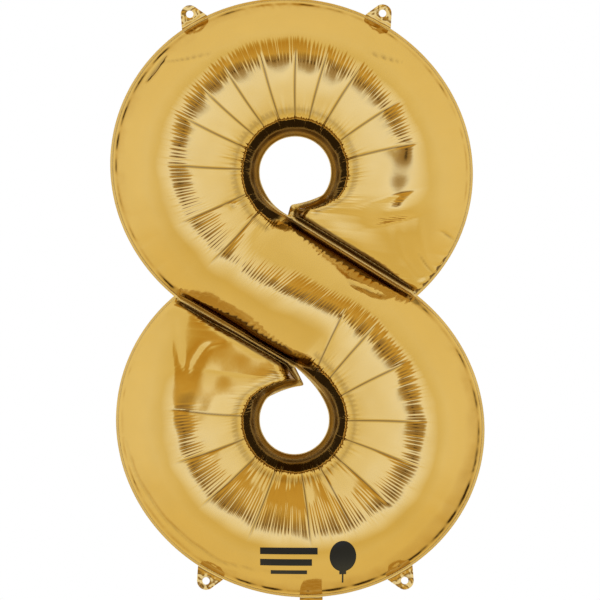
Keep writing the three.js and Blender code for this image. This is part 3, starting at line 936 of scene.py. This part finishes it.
def add_tab(joint, foil, rng):
    """A hanging tab: two crinkled films, pressed together round the eyelet."""
    fold = joint_frame(joint)
    body = joint["child"]
    local = tab_grid(fold)
    plane = fold.place + local[..., :1] * fold.along + local[..., 1:] * fold.out
    free = step_up(local[..., 1], 0, FREE_TAB)
    middle = flutter(plane) * (1 - free) + crinkle(local, rng, TAB_CRINKLE) * free
    gap = (MARGIN_THICKNESS / 2 + 0.03) * (1 - free) + 0.05
    from_eyelet = np.hypot(local[..., 0], local[..., 1] - eyelet_out(fold)) - EYELET
    loose = free * (1 - np.exp(-(from_eyelet / 2.5) ** 2))
    for side, label in SIDES:
        puff = gap + loose * (0.35 + ripples(local, rng, *TAB_RIPPLES))
        inner, outer = middle + side * puff, middle + side * (puff + FILM)
        film = layer(f"{body}_{label}", plane, inner, outer, foil, wraps=True)
        bent_film(film, body, fold.place - 0.2 * fold.out, fold.place + 2.4 * fold.out,
                  f"{body}_{label}_film", "gold_foil")


TAIL_WIDTH = 33.0
TAIL_SEAL = 5.0
TAIL_LENGTH = 64.0
TAIL_LAP = 3.0  # how far the tail's films go back over the margin
TAIL_START = 1.6  # how far below the edge its welds start
TAIL_BEND = (0, 3.0)  # how far below the edge it has turned with its body
TAIL_MOUTH = 2.4  # how far each film stands off at the open end
TAIL_SEED = 5
VALVE_WIDTH = 21.0
VALVE_INSIDE = 96.0  # how far up it goes inside the balloon
VALVE_DOWN = 0.7  # and how much of the tail it fills
WELD_HALF = 0.28


def strip(fold, low, high, top, bottom, columns, rows):
    """A grid beside the tail's fold, from low to high along it and from top to bottom. Its middle
    surface starts in the margin's own waves and is crinkled where it is free."""
    sides = np.meshgrid(np.linspace(low, high, columns), np.linspace(top, bottom, rows), indexing="ij")
    local = np.stack(sides, axis=-1)
    plane = fold.place + local
    free = step_up(-local[..., 1], 0, FREE_TAIL)
    folded = crinkle(local, np.random.default_rng(TAIL_SEED), TAIL_CRINKLE)
    middle = flutter(plane) * (1 - free) + folded * free
    return SimpleNamespace(local=local, plane=plane, free=free, middle=middle)


def add_tail(joint, foil, heat_seal, clear):
    """The filling tail: two films, a weld down each side, and the valve's films inside it."""
    fold = joint_frame(joint)
    bend_ends = fold.place, fold.place - TAIL_BEND
    bottom = -TAIL_LENGTH - TAIL_START
    half, valve_half = TAIL_WIDTH / 2, VALVE_WIDTH / 2

    def between(name, grid, low, high, material):
        return layer(name, grid.plane, grid.middle + low, grid.middle + high, material)

    for side, label in SIDES:
        grid = strip(fold, -half, half, TAIL_LAP, bottom, 45, 80)
        belly = np.cos(np.clip(grid.local[..., 0] / (half - TAIL_SEAL), -1, 1) * math.pi / 2)
        down = np.clip(-grid.local[..., 1] / TAIL_LENGTH, 0, 1)
        off = 0.30 + belly * (0.5 * grid.free + TAIL_MOUTH * down ** 3)
        film = between(f"tail_{label}", grid, side * off, side * (off + FILM), foil)
        bent_film(film, "tail", *bend_ends, f"tail_{label}_film", "gold_foil")
        grid = strip(fold, -valve_half, valve_half, -TAIL_START, VALVE_DOWN * bottom, 24, 40)
        valve = between(f"tail_valve_{label}", grid, side * 0.06, side * 0.22, clear)
        bent_film(valve, "tail", *bend_ends, f"tail_valve_{label}_film", "valve_film")
        grid = strip(fold, -valve_half, valve_half, VALVE_INSIDE, 0.0, 24, 60)
        valve = between(f"valve_{label}", grid, side * 0.04, side * 0.2, clear)
        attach(valve, "balloon_body")
        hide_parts(f"valve_{label}_film")
    for label, low in (("left", -half), ("right", half - TAIL_SEAL)):
        grid = strip(fold, low, low + TAIL_SEAL, -TAIL_START, bottom, 8, 80)
        weld = between(f"tail_{label}_weld", grid, -WELD_HALF, WELD_HALF, heat_seal)
        bent_film(weld, "tail", *bend_ends, f"tail_{label}_seal", "heat_seal")


# --- materials ---

GOLD = (0.58, 0.385, 0.098, 1)
DEEP_GOLD = tuple(0.92 * c for c in GOLD[:3]) + (1,)
# painted shade: the dark brown that the film's colour is darkened towards where the fold_shade attribute is
# high
PAINTED_SHADE = (0.060, 0.020, 0.001, 1)
INK = (0.006, 0.006, 0.006, 1)
WHITE = (1, 1, 1, 1)
CLEAR = (0.86, 0.87, 0.85, 1)
LACQUER = 0.3  # coat weight
PRINT_SHINE = 0.2
PRINT_ROUGHER = 0.2  # how much rougher the print is than the film
FOIL_ROUGHNESS, WELD_ROUGHNESS = 0.09, 0.36
HAZE_SCALE, GRAIN_SCALE = 24, 110  # noise over a metre
GRAIN_STRENGTH, GRAIN_DEPTH = 0.12, 0.0004

# A plain print low on the front: three bars and a small party balloon. Middles and half sizes in mm.
PRINT_BARS = [((-11, -768), (41, 5.0)), ((-15, -785), (37, 5.0)), ((-11, -800), (26, 3.0))]
PRINT_BALLOON = ((66, -776), (19, 23))
PRINT_KNOT = ((66, -801), (5, 2.5))
PRINT_STRING = ((66, -810), (1.2, 7))


def wire(tree, made, inputs):
    """Sets a node's inputs, or links them where the value is another node's output."""
    for key, value in inputs.items():
        if isinstance(value, bpy.types.NodeSocket):
            tree.links.new(value, made.inputs[key])
        else:
            made.inputs[key].default_value = value


def node(tree, kind, inputs=None, **settings):
    """A new node with its properties and inputs set."""
    made = tree.nodes.new(kind)
    for key, value in settings.items():
        setattr(made, key, value)
    wire(tree, made, inputs or {})
    return made


def maths(tree, operation, *inputs):
    return node(tree, "ShaderNodeMath", dict(enumerate(inputs)), operation=operation).outputs[0]


def vector_maths(tree, operation, *inputs):
    made = node(tree, "ShaderNodeVectorMath", dict(enumerate(inputs)), operation=operation)
    return made.outputs["Value" if operation in ("LENGTH", "DOT_PRODUCT") else "Vector"]


def offset(tree, where, middle, half):
    """The way from a middle (x, z) to a place, in shares of the half sizes, with y left out."""
    away = vector_maths(tree, "SUBTRACT", where, (middle[0], 0, middle[1]))
    return vector_maths(tree, "MULTIPLY", away, (1 / half[0], 0, 1 / half[1]))


def mixed(tree, factor, first, second, **settings):
    made = node(tree, "ShaderNodeMix", data_type="RGBA", **settings)
    wire(tree, made, {"Factor": factor, "A": first, "B": second})
    return made.outputs["Result"]


def noise(tree, where, scale, detail=2):
    inputs = {"Vector": where, "Scale": scale, "Detail": detail}
    return node(tree, "ShaderNodeTexNoise", inputs).outputs["Fac"]


def new_material(name):
    material = bpy.data.materials.new(name)
    material.use_nodes = True
    return material, material.node_tree


def coordinates(tree, kind):
    return node(tree, "ShaderNodeTexCoord").outputs[kind]


def print_mask(tree, where):
    """1 inside the printed shapes."""
    def shape(middle, half):
        return offset(tree, where, np.array(middle) * MM, np.array(half) * MM)

    mask = maths(tree, "LESS_THAN", vector_maths(tree, "LENGTH", shape(*PRINT_BALLOON)), 1.0)
    for row in PRINT_BARS + [PRINT_KNOT, PRINT_STRING]:
        split = node(tree, "ShaderNodeSeparateXYZ", {0: shape(*row)})
        reach = maths(tree, "MAXIMUM", *[maths(tree, "ABSOLUTE", split.outputs[axis]) for axis in "XZ"])
        mask = maths(tree, "MAXIMUM", mask, maths(tree, "LESS_THAN", reach, 1.0))
    return mask


def gold_material(name, roughness, printed=False):
    """Metallised film under a clear gold lacquer, faintly uneven as a thin film is."""
    material, tree = new_material(name)
    where = coordinates(tree, "Object")
    haze = noise(tree, where, HAZE_SCALE, 4)
    rough = node(tree, "ShaderNodeMapRange", {
        "Value": haze, "From Min": 0.3, "From Max": 0.7,
        "To Min": 0.75 * roughness, "To Max": 1.35 * roughness}).outputs[0]
    # painted shade: the fold_shade attribute darkens the film's colour towards a dark brown in creases,
    # valleys, round the holes and along sharp folds
    painted_shade = node(tree, "ShaderNodeAttribute", attribute_name="fold_shade").outputs["Fac"]
    tone = mixed(tree, painted_shade, mixed(tree, haze, GOLD, DEEP_GOLD), PAINTED_SHADE)
    grain = noise(tree, where, GRAIN_SCALE, 3)
    bump = node(tree, "ShaderNodeBump", {
        "Strength": GRAIN_STRENGTH, "Distance": GRAIN_DEPTH, "Height": grain})
    looks = {"Base Color": tone, "Metallic": 1.0, "Roughness": rough, "Normal": bump.outputs["Normal"],
             "Coat Weight": LACQUER, "Coat Roughness": 0.05}
    if printed:
        mask = print_mask(tree, where)
        bare = maths(tree, "SUBTRACT", 1.0, mask)
        looks |= {"Base Color": mixed(tree, mask, tone, INK), "Metallic": bare,
                  "Specular IOR Level": PRINT_SHINE,
                  "Roughness": maths(tree, "MULTIPLY_ADD", mask, PRINT_ROUGHER, rough),
                  "Coat Weight": maths(tree, "MULTIPLY", bare, LACQUER)}
    wire(tree, tree.nodes["Principled BSDF"], looks)
    return material


def clear_film():
    material, tree = new_material("valve_film")
    wire(tree, tree.nodes["Principled BSDF"], {
        "Base Color": CLEAR, "Roughness": 0.25, "Transmission Weight": 0.6})
    return material


def floor_material():
    material, tree = new_material("floor")
    mottle = noise(tree, coordinates(tree, "Object"), 9)
    tone = mixed(tree, mottle, (0.42, 0.42, 0.43, 1), (0.45, 0.45, 0.46, 1))
    wire(tree, tree.nodes["Principled BSDF"], {"Base Color": tone, "Roughness": 0.7})
    return material


# --- camera, light and floor ---

CAMERA_X, CAMERA_Z = 4.9, -411.0  # the middle of the picture
CAMERA_DISTANCE = 5000.0
PICTURE_SIDE = 865.8
FLOOR = -1.0  # in metres
SEED = 8  # of the films and the tabs


def aim(piece, target):
    piece.rotation_euler = (Vector(target) - piece.location).to_track_quat("-Z", "Y").to_euler()


def add_camera():
    """Straight in front, with the body filling the frame's height as it does in a product picture."""
    camera = new_object("camera", bpy.data.cameras.new("camera"))
    camera.location = (CAMERA_X * MM, -CAMERA_DISTANCE * MM, CAMERA_Z * MM)
    camera.data.angle = 2 * math.atan(PICTURE_SIDE / 2 / CAMERA_DISTANCE)
    camera.data.clip_end = 50
    aim(camera, (CAMERA_X * MM, 0, CAMERA_Z * MM))
    bpy.context.scene.camera = camera


TENT_LEVEL = 1.33
TENT = [  # angle from straight in front of the object in degrees, and the light's colour there
    (0, (1.15, 1.36, 2.5)), (30, (1.02, 1.08, 1.4)), (50, (0.90, 0.86, 0.72)), (78, (0.97, 0.96, 0.95)),
    (96, (0.98, 0.95, 0.85)), (112, (0.95, 0.90, 0.70)), (123, (0.75, 0.62, 0.32)), (130, (0.05, 0.03, 0.01)),
    (180, (0.03, 0.02, 0.01)),
]
# Tints of the tent: axis, the first and the last of the direction's share along it, and the colour there.
TENT_TINTS = [(2, 0.15, 0.75, (0.98, 0.96, 0.88)), (2, -0.15, -0.75, (0.93, 0.86, 0.63)),
              (0, 0.0, 0.8, (0.99, 0.98, 0.93))]
# Darker openings of the tent, ellipses above the camera: how far above it, half the width and half the
# height, in degrees, and the light that is left at shares of the way out from the middle.
OPENINGS = [
    (4.0, (17.0, 17.0), [(0, (0.42, 0.38, 0.5)), (0.62, (0.58, 0.55, 0.65)), (0.9, (0.8, 0.8, 0.8)),
                         (1.1, (1, 1, 1)), (2, (1, 1, 1))]),
    (21.0, (18.0, 33.0), [(0, (0.70, 0.48, 0.13)), (0.7, (0.66, 0.45, 0.13)), (0.9, (0.76, 0.62, 0.32)),
                          (1.05, (1, 1, 1)), (2, (1, 1, 1))]),
]
LENS_RISE = 2.0  # the camera itself is seen as a small black spot
LENS = [(0, (0.12, 0.1, 0.1)), (2.2, (0.25, 0.25, 0.25)), (4.0, (1, 1, 1)), (180, (1, 1, 1))]


def ramped(tree, value, full, stops):
    """Colours along a value that runs from 0 to full."""
    ramp = node(tree, "ShaderNodeValToRGB", {"Fac": maths(tree, "DIVIDE", value, full)})
    elements = ramp.color_ramp.elements
    for _ in stops[2:]:
        elements.new(1.0)
    for element, (position, colour) in zip(elements, stops):
        element.position = position / stops[-1][0]
        element.color = (*colour, 1)
    return ramp.outputs["Color"]


def opening(tree, direction, rise, half, stops):
    """A darker opening of the tent."""
    width, height = np.sin(np.radians(half))
    away = offset(tree, direction, (0, math.sin(math.radians(rise))), (width, height))
    return ramped(tree, vector_maths(tree, "LENGTH", away), stops[-1][0], stops)


def around(tree, direction, rise, stops):
    """Colours by angle, in degrees, from a direction that rises above straight ahead of the object."""
    middle = (0, -math.cos(math.radians(rise)), math.sin(math.radians(rise)))
    angle = maths(tree, "ARCCOSINE", vector_maths(tree, "DOT_PRODUCT", direction, middle))
    return ramped(tree, angle, math.pi, stops)


def add_world():
    """A light tent: bright all round the front, dark behind the object, white to the camera."""
    world = bpy.data.worlds.new("tent")
    bpy.context.scene.world = world
    world.use_nodes = True
    tree = world.node_tree
    tree.nodes.clear()
    where = coordinates(tree, "Generated")
    split = node(tree, "ShaderNodeSeparateXYZ", {0: where})
    filters = []
    for axis, first, last, shade in TENT_TINTS:
        reach = {"Value": split.outputs[axis], "From Min": first, "From Max": last}
        share = node(tree, "ShaderNodeMapRange", reach, interpolation_type="SMOOTHSTEP").outputs[0]
        filters.append(mixed(tree, share, WHITE, (*shade, 1)))
    filters += [opening(tree, where, *row) for row in OPENINGS]
    filters.append(around(tree, where, LENS_RISE, LENS))
    colour = around(tree, where, 0, TENT)
    for shade in filters:
        colour = mixed(tree, 1.0, colour, shade, blend_type="MULTIPLY")
    tent = node(tree, "ShaderNodeBackground", {"Color": colour, "Strength": TENT_LEVEL})
    white = node(tree, "ShaderNodeBackground", {"Color": WHITE})
    seen = node(tree, "ShaderNodeLightPath").outputs["Is Camera Ray"]
    mix = node(tree, "ShaderNodeMixShader", {0: seen, 1: tent.outputs[0], 2: white.outputs[0]})
    node(tree, "ShaderNodeOutputWorld", {"Surface": mix.outputs[0]})


# Softboxes, in metres: place, direction they shine in, width, height and colour of the light.
BACK_LIGHTS = [
    ((0, 2.2, -0.2), (0, -1, -0.1), 1.7, 2.1, (0.30, 0.42, 0.9)),
    ((0, 2.5, -0.2), (0, -1, -0.1), 4.4, 4.2, (0.28, 0.30, 0.45)),
    ((0, 2.8, -0.2), (0, -1, -0.1), 9.0, 7.0, (1.00, 0.88, 0.56)),
]
FLOOR_LIGHTS = [((0, 0, 2.0), (0, 0, -1), 6.0, 6.0, (1.9, 2.0, 2.3))]


def add_softboxes(name, lights, receivers):
    """Large soft lights that shine on some of the pieces only, as flags would make them do."""
    lit = bpy.data.collections.new(name)
    for piece in receivers:
        lit.objects.link(piece)
    for where, towards, width, height, colour in lights:
        light = bpy.data.lights.new(name, "AREA")
        light.shape = "RECTANGLE"
        light.size, light.size_y = width, height
        light.energy = math.pi * width * height
        light.color = colour
        box = new_object(name, light)
        box.location = where
        box.visible_camera = False
        aim(box, Vector(where) + Vector(towards))
        box.light_linking.receiver_collection = lit


def add_floor():
    bpy.ops.mesh.primitive_circle_add(vertices=128, radius=1.7, fill_type="NGON", location=(0, 0, FLOOR))
    floor = bpy.context.object
    floor.name = "floor"
    floor.data.materials.append(floor_material())
    floor.visible_glossy = False


add_camera()
add_world()
add_floor()
bpy.context.scene.view_settings.view_transform = "Standard"

rng = np.random.default_rng(SEED)
sheet = make_sheet(rng)
foil = gold_material("gold_foil", FOIL_ROUGHNESS)
printed_foil = gold_material("gold_foil_printed", FOIL_ROUGHNESS, printed=True)
heat_seal = gold_material("heat_seal", WELD_ROUGHNESS)
for (side, label), material in zip(SIDES, (printed_foil, foil)):
    points = film_points(sheet, side, rng)
    faces = grid_faces(*points.shape[:2])
    faces = faces[:, ::-1] if side == BACK else faces
    film = mesh_object(f"{label}_film", points, faces.tolist(), material)
    # painted shade for the film's colour, one value at each point
    painted_shade = film.data.attributes.new("fold_shade", "FLOAT", "POINT")
    painted_shade.data.foreach_set("value", fold_shade(sheet, side).ravel())
    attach(film, "balloon_body")
    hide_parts(f"{label}_panel")
add_margin(sheet, heat_seal)
for joint in frame["joints"]:
    if joint["child"] == "tail":
        add_tail(joint, foil, heat_seal, clear_film())
    else:
        add_tab(joint, foil, rng)

lit_from_behind = [piece for piece in bpy.data.objects
                   if piece.type == "MESH" and piece.name not in ("front_film", "floor")]
add_softboxes("back_light", BACK_LIGHTS, lit_from_behind)
add_softboxes("floor_light", FLOOR_LIGHTS, [bpy.data.objects["floor"]])
